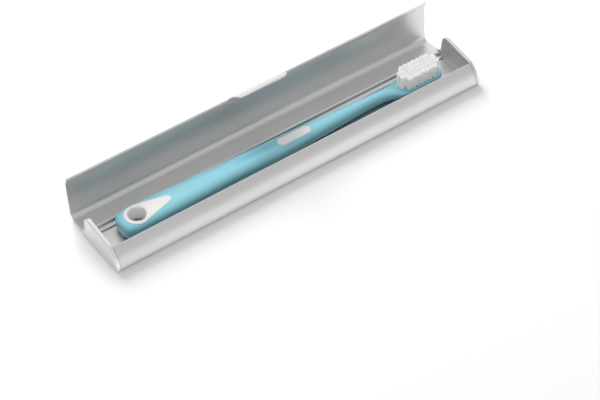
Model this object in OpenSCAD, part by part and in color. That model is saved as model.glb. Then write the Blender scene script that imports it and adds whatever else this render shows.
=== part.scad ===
// Toothbrush travel case: an extruded tray and an extruded lid with a snap tongue,
// joined along the rear edge by a bead that turns in a C-shaped socket, shut off by
// two flat end plates, with the toothbrush that it carries.
// X runs along the case, the bulged front faces -Y, the base lies on Z = 0.
// The lid is drawn open, as it stands with its rear wall let down behind the tray.

/* [Case] */
// Room left along the case beyond the toothbrush, both ends together
brush_room = 25.4; // [23.4:0.2:40]
// Depth of the flat base, front to rear
base_d = 28; // [27.5:0.1:31]
// Thickness of the tray's floor and front wall
wall = 1; // [0.8:0.05:1.2]
// Outer radius of the bulging front
bulge_r = 14.4; // [14:0.1:15.5]
// How far the axis of the bulge lies below the base
bulge_drop = 1.6; // [1.2:0.1:2]
// Angle round the bulge's axis, from the front up to the front wall's top edge
front_rise_a = 59.4; // [56:0.1:61]
// Radius of the rounded edge between the bulge and the base
base_edge_r = 1.6; // [1:0.1:1.8]
// Radius of the fillet inside the tray, between floor and front wall
floor_fillet_r = 1.2; // [0.6:0.1:1.6]

/* [Hinge] */
// Radius of the bead along the lid's foot
bead_r = 0.95; // [0.85:0.01:1]
// Radial clearance between the bead and its socket
hinge_gap = 0.08; // [0.04:0.01:0.1]
// Wall of the C-shaped socket
socket_wall = 0.55; // [0.45:0.01:0.65]
// How far the hinge axis lies behind the rear edge of the base
hinge_back = 1.5; // [1.2:0.05:1.8]
// Space between the lowest point of the socket and the base plane
socket_lift = 0.12; // [0.05:0.01:0.3]
// Height of the rail in front of the socket
rail_h = 1.5; // [1.3:0.1:2]
// Width of the groove between the floor and the rail
groove_w = 0.7; // [0.5:0.1:0.9]
// Depth of the groove between the floor and the rail
groove_d = 0.5; // [0.3:0.05:0.6]
// Depth of the rail from the groove to the rear edge of the base
rail_d = 2.2; // [1.8:0.1:2.6]
// Angle left free on each side of the lid's foot in the socket's mouth
mouth_spare_a = 3; // [1:0.5:5]

/* [Lid] */
// Thickness of the lid
lid_wall = 0.8; // [0.7:0.05:0.9]
// Height of the lid's rear top corner over the front wall when shut, before it is rounded
lid_rise = 4.5; // [4.4:0.1:6]
// Slope of the lid's top panel when shut, falling to the front
panel_slope_a = 8.2; // [7:0.1:9]
// Forward lean of the lid's rear wall when shut
wall_lean_a = 5.5; // [4.5:0.5:6.5]
// Outer radius of the bend between rear wall and top panel
bend_r = 4; // [3:0.1:5]
// Outer radius of the fold between top panel and lip
fold_r = 3; // [2:0.1:4]
// Clearance between the tray's front wall and the lip that laps over it
lip_gap = 0.25; // [0.2:0.05:0.4]
// How far the lip laps over the front wall
lip_lap = 3.4; // [1.2:0.1:4]
// How far each end of the lid lies in from the outer face of the end plate
lid_in = 1.2; // [0.8:0.1:1.5]
// Angle that the lid opens through
open_a = 103; // [95:0.5:103]

/* [Tongue and catch] */
// Width of the snap tongue
tongue_w = 29; // [20:0.5:40]
// Height of the tongue's lower edge above the base plane when shut
tongue_clear = 0.3; // [0.2:0.05:0.6]
// Radius of the tongue's lower corners
tongue_corner_r = 2.4; // [1:0.1:3]
// Radius of the fillets where the tongue leaves the lip
tongue_root_r = 1.5; // [0.8:0.1:2]
// Length of the catch nib
nib_l = 3; // [2:0.1:6]
// Height of the catch nib
nib_h = 1.1; // [0.8:0.1:1.4]
// How far the catch nib stands out of the front wall
nib_rise = 0.35; // [0.2:0.05:0.4]
// Height of the nib's middle above the base plane
nib_z = 2.6; // [2.6:0.1:3.2]
// Depth of the latch groove inside the tongue
latch_d = 0.4; // [0.3:0.05:0.45]

/* [End plates] */
// Thickness of an end plate
plate_t = 2.2; // [1.8:0.1:2.6]
// Clearance between an end plate's edge and the shut lid
plate_gap = 0.3; // [0.25:0.05:0.4]
// Width of the reveal line between an end plate and the tray
reveal_w = 0.3; // [0.1:0.05:0.4]
// Depth of the reveal line
reveal_d = 0.35; // [0.2:0.05:0.5]
// How far the plug on an end plate reaches into the tray
plug_l = 1.2; // [0.8:0.1:3]
// Thickness of the plug's band
plug_t = 0.9; // [0.6:0.1:1.2]

/* [Toothbrush] */
// Length of the toothbrush
brush_l = 187; // [180:0.5:195]
// Greatest width of the handle
handle_w = 15.6; // [12:0.1:16]
// Thickness of the handle at its loop end
handle_t = 8.4; // [7:0.1:8.8]
// Thickness of the neck
neck_t = 6.2; // [5:0.1:6.6]
// Length of the head
head_l = 29; // [26:0.5:32]
// Width of the head
head_w = 11.6; // [11.2:0.1:12.4]
// Thickness of the head
head_t = 3.3; // [3:0.1:3.6]
// Height of the bristles above the head, halfway across it
bristle_h = 8.1; // [6:0.1:8.2]
// Slope of the bristles' tips across the head, rising towards the hinge as the shut lid does
trim_a = 8; // [0:0.5:8.2]
// Space between the brush at rest and the tray's floor
brush_gap = 0.3; // [0.2:0.05:0.5]
// How far the end of the handle lies behind the middle of the base
brush_back = 4.8; // [4:0.1:5.2]
// How far the brush lies from the middle of the case towards its head's end
brush_shift = 1; // [0:0.1:3]
// How far the brush lies askew in the case
brush_turn_a = 0.05; // [0:0.05:0.3]

/* [Hanging loop and thumb inset] */
// Radius of the hanging hole
hole_r = 4.4; // [3:0.1:4.6]
// Width of the soft ring round the hanging hole
ring_w = 1.8; // [1.4:0.1:2.1]
// Distance of the hanging hole's middle from the end of the handle
hole_in = 9.2; // [9:0.1:12]
// Distance of the tip of the ring's tail from the middle of the hole
tail_l = 18.4; // [14:0.1:26]
// Radius of the tail's tip
tail_tip_r = 2; // [1:0.1:2.6]
// Length of the thumb inset
inset_l = 19; // [14:0.5:26]
// Width of the thumb inset
inset_w = 5; // [4:0.1:6]
// Depth of the thumb inset's floor below the handle's highest line
inset_d = 3; // [2.4:0.1:4]
// Distance of the thumb inset's middle from the end of the handle
inset_in = 98.2; // [94:0.1:104]

/* [Bristles] */
// Number of tufts across the head
row_tufts = 4; // [3:1:4]
// Number of bristles in a tuft
tuft_strands = 11; // [8:1:12]
// Length of the bristle field
field_l = 23.5; // [20:0.5:24]
// Width of the bristle field
field_w = 9.4; // [8:0.1:9.6]
// Thickness of the slice of backing that carries the bristles
backing_t = 0.5; // [0.4:0.1:0.8]
// Distance of the bristle field's far end from the head's tip
field_in = 1.7; // [1.5:0.1:3]

/* [Hidden] */

// Fineness of drawn curves
$fn = 96;
// Fineness of curves that are drawn round with a hull
hull_fn = 32;
// Overrun of cuts
cut = 1;
// Angles above the rearward direction: to the front, and between that and the top of the lip
front_a = 180;
lip_mid_a = 150;
// Angle that two curves of one section run into each other
join_a = 0.25;
// How far a round stands out over the flats that it joins, so that they meet cleanly
seam = 0.002;
// Half of the gap between the backings of two rows of tufts
row_gap = 0.01;
// Floors of the thumb inset's pocket and of the backing's recess
pocket_z = handle_t - inset_d;
backing_z = head_t - backing_t;
// Number of rows of tufts along the head
tuft_cols = 9;
// Corner of the bristle field as a share of its width
field_corner_share = 0.4;
// Tuft radius as a share of the tuft pitch
tuft_share = 0.42;
// Bristle radius as a share of the tuft radius
strand_share = 0.17;
// Spread of a tuft from its root to its tip, as a share of its radius
spread_share = 0.15;
// Room beside the outer tufts, in tuft pitches
edge_share = 0.1;
// How much shorter every second row of tufts is
row_short_share = 0.03;

silver = "silver";
pale_blue = [0.56, 0.82, 0.88];
soft_white = [0.93, 0.93, 0.93];

// A unit vector in the section plane, from the angle above the rearward direction
function along(a) = [cos(a), sin(a)];
function dot(p, q) = p[0] * q[0] + p[1] * q[1];

// Overall length, over the outer faces of the end plates
case_l = brush_l + brush_room;
// The section plane's first number is Y and its second is Z
shell_l = case_l - 2 * plate_t;
bulge_c = [sqrt(pow(bulge_r, 2) - pow(bulge_drop, 2)) - base_d / 2, -bulge_drop];
front_top_a = front_a - front_rise_a;
front_h = bulge_r * sin(front_rise_a) - bulge_drop;
inner_r = bulge_r - wall;

socket_in_r = bead_r + hinge_gap;
socket_r = socket_in_r + socket_wall;
hinge_c = [base_d / 2 + hinge_back, socket_r + socket_lift];
foot_half_a = asin(lid_wall / 2 / socket_in_r);
mouth_top_a = 90 + wall_lean_a + foot_half_a + mouth_spare_a;
mouth_low_a = 90 + wall_lean_a - open_a - foot_half_a - mouth_spare_a;
rail_y = base_d / 2 - rail_d;
groove_y = rail_y - groove_w;

// The shut lid: outward normals of its rear wall and top panel, and its rear top corner
wall_up = along(90 + wall_lean_a);
wall_out = along(wall_lean_a);
panel_out = along(90 + panel_slope_a);
panel_front = along(180 + panel_slope_a);
foot_out = hinge_c + wall_out * lid_wall / 2;
lid_h = front_h + lid_rise;
corner_rise = (lid_h - foot_out[1]) / wall_up[1];
corner = foot_out + wall_up * corner_rise;
corner_mitre = (wall_out + panel_out) / (1 + dot(wall_out, panel_out));
bend_c = corner - corner_mitre * bend_r;

lip_in_r = bulge_r + lip_gap;
lip_r = lip_in_r + lid_wall;
panel_rise = dot(panel_out, corner - bulge_c);
fold_rise = panel_rise - fold_r;
fold_front = sqrt(pow(lip_r - fold_r, 2) - pow(fold_rise, 2));
fold_c = bulge_c + panel_out * fold_rise + panel_front * fold_front;
fold_a = 90 + panel_slope_a + atan2(fold_front, fold_rise);
lip_end_a = front_top_a + lip_lap / bulge_r * 180 / PI;
nib_a = front_a - asin((nib_z + bulge_drop) / bulge_r);

// The end plates follow the inside of the shut lid
plate_offset = lid_wall + plate_gap;
plate_corner_r = bend_r - plate_offset;
plate_low = hinge_c - wall_out * (plate_offset - lid_wall / 2);

// The toothbrush is drawn from the handle's end at zero, with its underside on Z = 0
brush_x = brush_shift - brush_l / 2;
brush_z = wall + brush_gap;
head_x = brush_l - head_l;
field_x = brush_l - field_in - field_l / 2;

// Handle stations: place along the handle, half width, underside, top, squareness
handle_shares = [
    [0.000, 0.270, 0.10, 0.740, 3.00],
    [0.005, 0.370, 0.04, 0.860, 3.00],
    [0.016, 0.440, 0.01, 0.940, 3.10],
    [0.034, 0.485, 0.00, 0.985, 3.20],
    [0.058, 0.500, 0.00, 1.000, 3.20],
    [0.100, 0.500, 0.00, 1.000, 3.20],
    [0.133, 0.490, 0.00, 0.990, 3.10],
    [0.209, 0.468, 0.00, 0.975, 2.90],
    [0.284, 0.440, 0.00, 0.955, 2.80],
    [0.359, 0.405, 0.00, 0.935, 2.70],
    [0.434, 0.390, 0.00, 0.910, 2.70],
    [0.509, 0.375, 0.00, 0.885, 2.65],
    [0.585, 0.368, 0.00, 0.865, 2.60],
    [0.660, 0.333, 0.00, 0.848, 2.60],
    [0.735, 0.290, 0.01, 0.835, 2.50],
    [0.772, 0.272, 0.02, 0.820, 2.40]
];
// Neck stations, as shares of the neck's thickness
neck_shares = [
    [0.810, 0.640, 0.06, 1.11, 2.30],
    [0.848, 0.580, 0.08, 1.09, 2.20],
    [0.885, 0.530, 0.08, 1.06, 2.15],
    [0.923, 0.515, 0.08, 1.03, 2.10],
    [0.955, 0.540, 0.06, 0.97, 2.10]
];
// Head stations: place along the head, half width, underside, top, squareness
head_shares = [
    [0.000, 0.385, 0.00, 1.38, 2.40],
    [0.080, 0.450, 0.00, 1.12, 3.20],
    [0.170, 0.490, 0.00, 1.00, 4.50],
    [0.300, 0.500, 0.00, 1.00, 5.00],
    [0.780, 0.500, 0.00, 1.00, 5.00],
    [0.880, 0.460, 0.00, 1.00, 4.50],
    [0.950, 0.370, 0.04, 0.98, 4.00],
    [0.985, 0.270, 0.12, 0.94, 3.40],
    [1.000, 0.170, 0.24, 0.84, 3.00]
];
brush_stations = concat(
    [for (s = handle_shares) [s[0] * head_x, s[1] * handle_w, s[2] * handle_t, s[3] * handle_t, s[4]]],
    [for (s = neck_shares) [s[0] * head_x, s[1] * neck_t, s[2] * neck_t, s[3] * neck_t, s[4]]],
    [for (s = head_shares) [head_x + s[0] * head_l, s[1] * head_w, s[2] * head_t, s[3] * head_t, s[4]]]
);
// Slices between two neighbouring stations, and points round a slice
loft_steps = 2;
loft_points = 24;

// Slope of column c at station i, level wherever the column turns round
function station_slope(t, i, c) =
    (i == 0 || i == len(t) - 1) ? 0 :
    let (
        back = (t[i][c] - t[i - 1][c]) / (t[i][0] - t[i - 1][0]),
        ahead = (t[i + 1][c] - t[i][c]) / (t[i + 1][0] - t[i][0])
    )
    back * ahead <= 0 ? 0 : 2 * back * ahead / (back + ahead);

// Column c at share s of the way from station i to the next, on a smooth curve
function station_value(t, i, s, c) =
    let (span = t[i + 1][0] - t[i][0])
    (2 * pow(s, 3) - 3 * pow(s, 2) + 1) * t[i][c]
    + (pow(s, 3) - 2 * pow(s, 2) + s) * span * station_slope(t, i, c)
    + (3 * pow(s, 2) - 2 * pow(s, 3)) * t[i + 1][c]
    + (pow(s, 3) - pow(s, 2)) * span * station_slope(t, i + 1, c);

// All slices of the brush, each with its place, half width, underside, top, squareness
brush_slices = concat(
    [for (i = [0 : len(brush_stations) - 2], k = [0 : loft_steps - 1])
        let (s = k / loft_steps)
        [for (c = [0 : 4])
            c == 0 ? brush_stations[i][0] + s * (brush_stations[i + 1][0] - brush_stations[i][0])
                   : station_value(brush_stations, i, s, c)]],
    [brush_stations[len(brush_stations) - 1]]
);

function signed_pow(v, p) = sign(v) * pow(abs(v), p);

function slice_ring(s) = [
    for (k = [0 : loft_points - 1])
        let (turn = 360 * k / loft_points)
        [s[0],
         s[1] * signed_pow(cos(turn), 2 / s[4]),
         (s[2] + s[3]) / 2 + (s[3] - s[2]) / 2 * signed_pow(sin(turn), 2 / s[4])]
];

// Extrudes a section along the case, centred on its middle
module along_case(length) {
    translate([-length / 2, 0, 0])
        rotate([90, 0, 90])
            linear_extrude(height = length)
                children();
}

// Part of a ring in the section plane, from angle a1 to angle a2
module ring_part(centre, r_in, r_out, a1, a2) {
    reach = 3 * r_out;
    intersection() {
        translate(centre)
            difference() {
                circle(r = r_out);
                circle(r = r_in);
            }
        polygon([centre, centre + reach * along(a1),
                 centre + reach * along((a1 + a2) / 2), centre + reach * along(a2)]);
    }
}

// Fillet between the floor and the front wall, inside the tray
module floor_fillet() {
    fillet_h = wall + floor_fillet_r + bulge_drop;
    fillet_c = [bulge_c[0] - sqrt(pow(inner_r - floor_fillet_r, 2) - pow(fillet_h, 2)),
                wall + floor_fillet_r];
    touch = bulge_c + inner_r * (fillet_c - bulge_c) / norm(fillet_c - bulge_c);
    wall_mid = touch - [wall / 2, 0];
    difference() {
        polygon([fillet_c, touch, wall_mid,
                 [bulge_c[0] - sqrt(pow(inner_r, 2) - pow(wall + bulge_drop, 2)) - wall / 2, wall / 2],
                 [fillet_c[0], wall / 2]]);
        translate(fillet_c)
            circle(r = floor_fillet_r);
    }
}

// Web that carries the hinge socket behind the base
module hinge_web() {
    polygon([[rail_y, 0], [base_d / 2, 0], [hinge_c[0], hinge_c[1] - socket_r], hinge_c,
             [base_d / 2 - rail_d / 3, rail_h], [rail_y, rail_h]]);
}

// What is cut away to round the edge between the bulge and the base
module base_edge_cut() {
    edge_h = base_edge_r + bulge_drop;
    edge_c = [bulge_c[0] - sqrt(pow(bulge_r - base_edge_r, 2) - pow(edge_h, 2)), base_edge_r];
    beyond = bulge_c + (bulge_r + cut) * (edge_c - bulge_c) / norm(edge_c - bulge_c);
    difference() {
        polygon([edge_c, beyond, [beyond[0] - cut, -cut], [edge_c[0], -cut]]);
        translate(edge_c)
            circle(r = base_edge_r + seam);
    }
}

module tray_section() {
    difference() {
        union() {
            intersection() {
                union() {
                    translate(bulge_c)
                        circle(r = bulge_r);
                    translate([bulge_c[0], 0])
                        square([base_d, wall]);
                }
                translate([-base_d, 0])
                    square([base_d + groove_y, wall]);
            }
            intersection() {
                ring_part(bulge_c, inner_r, bulge_r, front_top_a, front_a);
                translate([-base_d, 0])
                    square([base_d, base_d]);
            }
            floor_fillet();
            translate([groove_y, 0])
                square([groove_w, wall - groove_d]);
            hinge_web();
            translate(hinge_c)
                circle(r = socket_r);
        }
        translate(hinge_c)
            circle(r = socket_in_r);
        polygon([hinge_c,
                 for (k = [0 : 4])
                     hinge_c + 2 * socket_r * along(mouth_low_a + k / 4 * (mouth_top_a - mouth_low_a))]);
        base_edge_cut();
    }
}

// The catch nib's shank, drawn along the radius that it is pressed in on
module nib_shank(inner, outer) {
    nib_in = bulge_c + inner * along(nib_a);
    translate([0, nib_in[0], nib_in[1]])
        rotate([nib_a, 0, 0])
            translate([-nib_l / 4, 0, -nib_h / 4])
                cube([nib_l / 2, outer - inner, nib_h / 2]);
}

module tray_shell() {
    color(silver)
        difference() {
            along_case(shell_l)
                tray_section();
            nib_shank(inner_r - cut, bulge_r + cut);
        }
}

module catch_nib() {
    color(silver)
        union() {
            nib_shank(inner_r, bulge_r + nib_rise / 2);
            along_case(nib_l)
                difference() {
                    translate(bulge_c + (bulge_r + nib_rise - nib_h / 2) * along(nib_a))
                        circle(r = nib_h / 2);
                    translate(bulge_c)
                        circle(r = bulge_r);
                }
        }
}

// Outline of an end plate: the bulge in front, and the inside of the shut lid elsewhere
module plate_section() {
    mitred = corner - corner_mitre * plate_offset;
    rear_touch = bend_c + wall_out * plate_corner_r;
    top_touch = bend_c + panel_out * plate_corner_r;
    difference() {
        intersection() {
            union() {
                polygon([[-base_d, 0], [base_d / 2, 0], plate_low, rear_touch, bend_c, top_touch,
                         top_touch + panel_front * (top_touch[0] + base_d) / cos(panel_slope_a)]);
                translate(bend_c)
                    circle(r = plate_corner_r);
                hinge_web();
                translate(hinge_c)
                    circle(r = socket_r);
            }
            union() {
                translate(bulge_c)
                    circle(r = bulge_r);
                translate([bulge_c[0], 0])
                    square([base_d, mitred[1] + cut]);
            }
        }
        base_edge_cut();
    }
}

// The hollow of the tray at its end, where an end plate's plug goes
module plug_hollow() {
    plug_top = front_h - wall - plug_t;
    difference() {
        intersection() {
            translate(bulge_c)
                circle(r = inner_r);
            translate([-base_d, wall])
                square([base_d + groove_y, plug_top - wall]);
        }
        floor_fillet();
    }
}

module plug_section() {
    difference() {
        plug_hollow();
        intersection() {
            translate(bulge_c)
                circle(r = inner_r - plug_t);
            translate([-base_d, wall + plug_t])
                square([2 * base_d, base_d]);
        }
        translate([0, wall + plug_t])
            square([base_d, base_d]);
    }
}

module end_plate() {
    color(silver)
        union() {
            translate([(shell_l + plate_t + reveal_w) / 2, 0, 0])
                along_case(plate_t - reveal_w)
                    plate_section();
            translate([(shell_l + reveal_w) / 2, 0, 0])
                along_case(reveal_w)
                    difference() {
                        plate_section();
                        ring_part(bulge_c, bulge_r - reveal_d, bulge_r + cut,
                                  front_top_a, front_a - asin(bulge_drop / bulge_r));
                    }
            translate([(shell_l - plug_l) / 2, 0, 0])
                along_case(plug_l)
                    plug_section();
        }
}

module right_end_plate() {
    end_plate();
}

module left_end_plate() {
    mirror([1, 0, 0])
        end_plate();
}

// All that lies under the shut lid's outer face, from inset d inwards, as far as the tongue's edge
module lid_fill(d) {
    reach = 2 * bulge_r;
    polygon([foot_out - cut * wall_up - d * wall_out, bend_c + (bend_r - d) * wall_out, bend_c,
             bend_c + (bend_r - d) * panel_out, fold_c + (fold_r - d) * panel_out, fold_c, bulge_c]);
    translate(bend_c)
        circle(r = bend_r - d + seam);
    translate(fold_c)
        circle(r = fold_r - d + seam);
    intersection() {
        translate(bulge_c)
            circle(r = lip_r - d);
        polygon([bulge_c, bulge_c + reach * along(fold_a - join_a),
                 bulge_c + reach * along(lip_mid_a), bulge_c + reach * along(front_a)]);
    }
}

// Section of the shut lid through its tongue, without the bead
module lid_section() {
    far = 2 * base_d;
    difference() {
        intersection() {
            lid_fill(0);
            polygon([foot_out + lid_wall * wall_out, foot_out - 2 * lid_wall * wall_out,
                     [bulge_c[0], tongue_clear], [-far, tongue_clear], [-far, far], [far, far]]);
        }
        lid_fill(lid_wall);
    }
}

// Front view of what is cut away under the lip, on both sides of the tongue
module lip_cut() {
    lip_z = bulge_c[1] + lip_r * sin(lip_end_a);
    half = tongue_w / 2;
    span = case_l / 2 + cut - half;
    for (side = [-1, 1])
        difference() {
            union() {
                translate([side * (half + span / 2), (lip_z - cut) / 2 - tongue_root_r / 2])
                    square([span, lip_z + cut - tongue_root_r], center = true);
                translate([side * (half + (span + tongue_root_r) / 2), (lip_z - cut) / 2])
                    square([span - tongue_root_r, lip_z + cut], center = true);
                translate([side * (half + tongue_root_r), lip_z - tongue_root_r])
                    circle(r = tongue_root_r + seam);
                translate([side * (half - tongue_corner_r / 2), (tongue_clear + tongue_corner_r - cut) / 2])
                    square([tongue_corner_r, tongue_clear + tongue_corner_r + cut], center = true);
            }
            translate([side * (half - tongue_corner_r), tongue_clear + tongue_corner_r])
                circle(r = tongue_corner_r - seam);
        }
}

// The lid as it lies when shut
module shut_lid() {
    foot_l = shell_l - 2 * plate_gap;
    groove_c = bulge_c + (lip_in_r - nib_h / 2 + latch_d) * along(nib_a);
    difference() {
        along_case(case_l - 2 * lid_in)
            lid_section();
        rotate([90, 0, 0])
            linear_extrude(height = base_d)
                lip_cut();
        along_case(tongue_w + 2 * cut)
            translate(groove_c)
                circle(r = nib_h / 2);
        for (side = [-1, 1])
            translate([side * (foot_l + plate_t + plate_gap + cut) / 2, 0, 0])
                along_case(plate_t + plate_gap + cut)
                    translate(hinge_c)
                        circle(r = socket_r + plate_gap);
    }
    along_case(foot_l)
        translate(hinge_c)
            circle(r = bead_r);
}

module lid_shell() {
    color(silver)
        translate([0, hinge_c[0], hinge_c[1]])
            rotate([-open_a, 0, 0])
                translate([0, -hinge_c[0], -hinge_c[1]])
                    shut_lid();
}

// Lays the brush in the tray
module laid() {
    translate([brush_x, brush_back, brush_z])
        rotate([0, 0, -brush_turn_a])
            children();
}

// The brush's whole body as one smooth loft
module brush_body() {
    n = loft_points;
    last = len(brush_slices) - 1;
    polyhedron(
        points = [for (s = brush_slices) each slice_ring(s)],
        faces = concat(
            [[for (k = [0 : n - 1]) k]],
            [for (i = [0 : last - 1], k = [0 : n - 1])
                let (a = i * n + k, b = i * n + (k + 1) % n)
                each [[a, a + n, b + n], [a, b + n, b]]],
            [[for (k = [n - 1 : -1 : 0]) last * n + k]]
        )
    );
}

// Outline of the soft ring and its tail, seen from above
module loop_outline() {
    translate([hole_in, 0])
        hull() {
            circle(r = hole_r + ring_w, $fn = 2 * hull_fn);
            translate([tail_l - tail_tip_r, 0])
                circle(r = tail_tip_r, $fn = hull_fn);
        }
}

// Outline of the thumb inset, seen from above
module inset_outline() {
    translate([inset_in, 0])
        hull()
            for (side = [-1, 1])
                translate([side * (inset_l - inset_w) / 2, 0])
                    circle(d = inset_w, $fn = hull_fn);
}

// Outline of the bristle field, seen from above and centred on the field
module field_outline() {
    field_r = field_w * field_corner_share;
    hull()
        for (x = [-1, 1], y = [-1, 1])
            translate([x * (field_l / 2 - field_r), y * (field_w / 2 - field_r)])
                circle(r = field_r, $fn = hull_fn);
}

// A column as tall as the brush under an outline
module brush_column(low) {
    translate([0, 0, low])
        linear_extrude(height = 2 * handle_t)
            children();
}

module brush_handle() {
    color(pale_blue)
        laid()
            difference() {
                brush_body();
                brush_column(-cut)
                    loop_outline();
                brush_column(pocket_z)
                    inset_outline();
                brush_column(backing_z)
                    translate([field_x, 0])
                        field_outline();
            }
}

module loop_insert() {
    color(soft_white)
        laid()
            difference() {
                intersection() {
                    brush_body();
                    brush_column(-cut)
                        loop_outline();
                }
                translate([hole_in, 0, -2 * cut])
                    cylinder(r = hole_r, h = 2 * handle_t);
            }
}

module thumb_inset() {
    color(soft_white)
        laid()
            intersection() {
                brush_body();
                brush_column(pocket_z)
                    inset_outline();
            }
}

// One tuft: bristles on a sunflower pattern, spreading a little towards their tips
module tuft(radius, height) {
    strand_r = radius * strand_share;
    golden_a = 360 * (3 - sqrt(5)) / 2;
    lean = spread_share / height;
    for (k = [0 : tuft_strands - 1]) {
        at = (radius - strand_r) * sqrt((k + 0.5) / tuft_strands) * along(golden_a * k);
        multmatrix([[1, 0, lean * at[0], at[0]], [0, 1, lean * at[1], at[1]], [0, 0, 1, 0]])
            cylinder(r = strand_r, h = height, $fn = 3);
    }
}

// One row of tufts across the head, standing on its slice of the backing
module tuft_row(i) {
    pitch_x = field_l / tuft_cols;
    pitch_y = field_w / (row_tufts + edge_share);
    tuft_r = min(pitch_x, pitch_y) * tuft_share;
    middle = (tuft_cols - 1) / 2;
    row_middle = (row_tufts - 1) / 2;
    // The end rows have no tufts in the corners, so their tallest stands further in
    row_top = (abs(i - middle) < middle ? row_middle : row_middle - 1) * pitch_y;
    row_x = (i - middle) * pitch_x;
    row_h = (bristle_h + backing_t) * (1 - row_short_share * (i % 2));
    color(soft_white)
        laid()
            translate([field_x + row_x, 0, backing_z])
                resize([0, 0, row_h + row_top * tan(trim_a)])
                union() {
                    linear_extrude(height = backing_t)
                        intersection() {
                            translate([-row_x, 0])
                                field_outline();
                            square([pitch_x - 2 * row_gap, field_w], center = true);
                        }
                    for (j = [0 : row_tufts - 1]) {
                        // The field's corners are round, so no tuft stands there
                        row_y = (j - row_middle) * pitch_y;
                        if (abs(j - row_middle) < row_middle || abs(i - middle) < middle)
                            translate([0, row_y, 0])
                                tuft(tuft_r, row_h + row_y * tan(trim_a));
                    }
                }
}

module tuft_row_1() {
    tuft_row(0);
}

module tuft_row_2() {
    tuft_row(1);
}

module tuft_row_3() {
    tuft_row(2);
}

module tuft_row_4() {
    tuft_row(3);
}

module tuft_row_5() {
    tuft_row(4);
}

module tuft_row_6() {
    tuft_row(5);
}

module tuft_row_7() {
    tuft_row(6);
}

module tuft_row_8() {
    tuft_row(7);
}

module tuft_row_9() {
    tuft_row(8);
}

tray_shell();
left_end_plate();
right_end_plate();
catch_nib();
lid_shell();
brush_handle();
loop_insert();
thumb_inset();
tuft_row_1();
tuft_row_2();
tuft_row_3();
tuft_row_4();
tuft_row_5();
tuft_row_6();
tuft_row_7();
tuft_row_8();
tuft_row_9();
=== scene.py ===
"""An extruded aluminium travel case, standing open, with the toothbrush that it carries.

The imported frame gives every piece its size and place. This script eases the metal's edges,
makes the toothbrush's smooth body, soft inserts and bristles, and sets up the studio.
"""
from __future__ import annotations

import logging
import math
import random
from dataclasses import dataclass, field
from enum import Enum

import bmesh
import bpy
from mathutils import Matrix, Vector


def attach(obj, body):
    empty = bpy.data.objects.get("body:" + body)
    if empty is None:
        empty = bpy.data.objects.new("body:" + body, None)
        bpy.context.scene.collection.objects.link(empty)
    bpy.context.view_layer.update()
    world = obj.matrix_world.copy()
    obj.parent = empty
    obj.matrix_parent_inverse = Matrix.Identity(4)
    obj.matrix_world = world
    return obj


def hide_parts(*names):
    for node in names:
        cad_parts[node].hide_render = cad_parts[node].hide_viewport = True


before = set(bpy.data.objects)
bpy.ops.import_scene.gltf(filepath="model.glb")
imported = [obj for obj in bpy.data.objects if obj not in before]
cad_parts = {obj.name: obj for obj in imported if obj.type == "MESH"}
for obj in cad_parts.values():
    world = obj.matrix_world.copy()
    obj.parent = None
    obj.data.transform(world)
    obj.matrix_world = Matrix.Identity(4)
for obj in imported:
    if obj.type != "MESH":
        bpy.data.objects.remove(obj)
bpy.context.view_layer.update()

log = logging.getLogger("travel_case")

MM = 0.001
PHOTO_W = 600

Triple = tuple[float, float, float]
Mesh = bmesh.types.BMesh
Vert = bmesh.types.BMVert
Edge = bmesh.types.BMEdge


class Body(Enum):
    """The bodies that pieces ride on."""

    TRAY = "tray"
    LID = "lid"
    BRUSH = "toothbrush"


class Slot(Enum):
    """The record's finish slots."""

    METAL = "satin_aluminium"
    BLUE = "blue_plastic"
    WHITE = "white_soft_plastic"
    NYLON = "bristle_nylon"


class Keep(Enum):
    """Which part of a mesh a cutter leaves."""

    OUTSIDE = "DIFFERENCE"
    INSIDE = "INTERSECT"


class Sum(Enum):
    """The sums that the shaders work out."""

    ADD = "ADD"
    SUBTRACT = "SUBTRACT"
    MULTIPLY = "MULTIPLY"
    DIVIDE = "DIVIDE"
    LARGER = "MAXIMUM"


class Detail(Enum):
    """How many ever finer layers a noise has."""

    BROAD = 1
    SOFT = 2
    FINE = 3


class Wire:
    """A shader socket that Python's operators work on by adding Math nodes."""

    def __init__(self, bench: Bench, socket: bpy.types.NodeSocket) -> None:
        """Keeps the socket and the bench that its node stands on."""
        self.bench = bench
        self.socket = socket

    def __add__(self, other: Wire | float) -> Wire:
        """Returns self + other."""
        return self.bench.math(Sum.ADD, self, other)

    def __sub__(self, other: Wire | float) -> Wire:
        """Returns self - other."""
        return self.bench.math(Sum.SUBTRACT, self, other)

    def __rsub__(self, other: float) -> Wire:
        """Returns other - self."""
        return self.bench.math(Sum.SUBTRACT, other, self)

    def __mul__(self, other: Wire | float) -> Wire:
        """Returns self * other."""
        return self.bench.math(Sum.MULTIPLY, self, other)

    def __truediv__(self, other: Wire | float) -> Wire:
        """Returns self / other."""
        return self.bench.math(Sum.DIVIDE, self, other)

    __radd__ = __add__
    __rmul__ = __mul__

    def larger(self, other: Wire | float) -> Wire:
        """Returns the larger of self and other."""
        return self.bench.math(Sum.LARGER, self, other)

    def up_to_one(self) -> Wire:
        """Returns self held between zero and one."""
        return self.bench.wire("ShaderNodeClamp", {}, {"Value": self}, "Result")

    def swing(self, amount: float) -> Wire:
        """Returns self, which runs from 0 to 1, as a swing of amount about zero."""
        return amount * (self - 0.5)


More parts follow.
